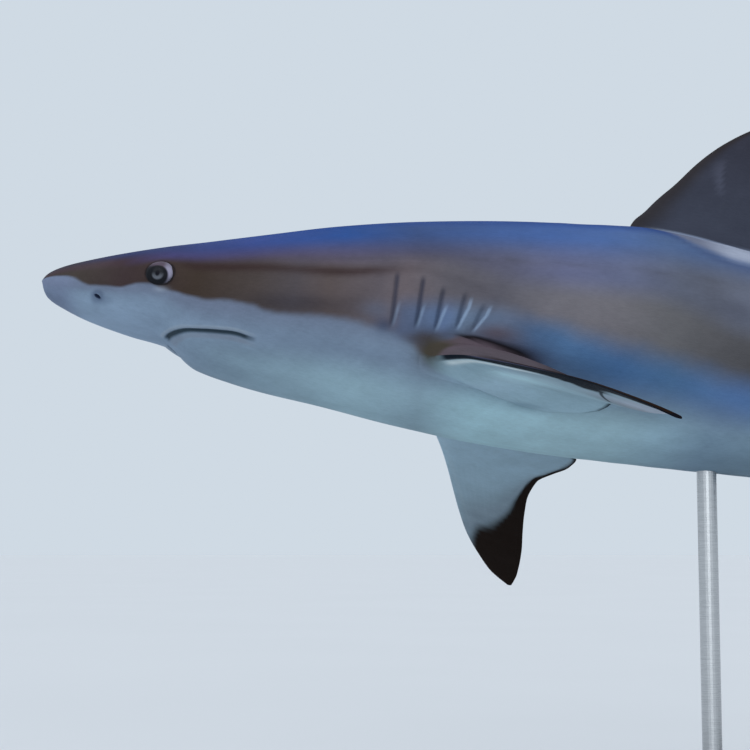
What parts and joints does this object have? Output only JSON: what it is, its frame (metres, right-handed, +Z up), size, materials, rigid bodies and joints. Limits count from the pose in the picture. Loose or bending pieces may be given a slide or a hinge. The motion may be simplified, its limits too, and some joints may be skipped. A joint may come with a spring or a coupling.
{
  "type": "blacktip shark",
  "caption": "Life-size blacktip shark in a swimming curve, pectoral fins spread, held over a flat display base by short upright rods.",
  "frame": {"origin": "centre of the underside of the display base, on the floor", "axes": "+X from the shark's head towards its tail, +Y to the shark's right side, +Z up"},
  "size_m": [1.5261, 0.6807, 0.6225],
  "materials": {
    "skin": "satin wet-look skin, grey-brown back shading to pale belly, black fin tips",
    "pale_skin": "satin wet-look skin, pale cool white",
    "dark_skin": "satin wet-look skin, dark slate with black tip",
    "eye": "wet glossy eye, grey iris and dark pupil",
    "stand_paint": "satin charcoal paint on board",
    "stand_steel": "brushed round bar"
  },
  "bodies": {
    "root": {"head": "skin", "lower_jaw": "pale_skin", "trunk": "skin", "tail": "skin", "first_dorsal_fin": "dark_skin", "second_dorsal_fin": "skin", "pectoral_fin_left": "skin", "pectoral_fin_right": "skin", "pelvic_fin_left": "skin", "pelvic_fin_right": "skin", "anal_fin": "pale_skin", "caudal_fin_upper": "skin", "caudal_fin_lower": "dark_skin", "eye_left": "eye", "eye_right": "eye", "stand_base": "stand_paint", "stand_rod_front": "stand_steel", "stand_rod_rear": "stand_steel"}
  },
  "joints": []
}
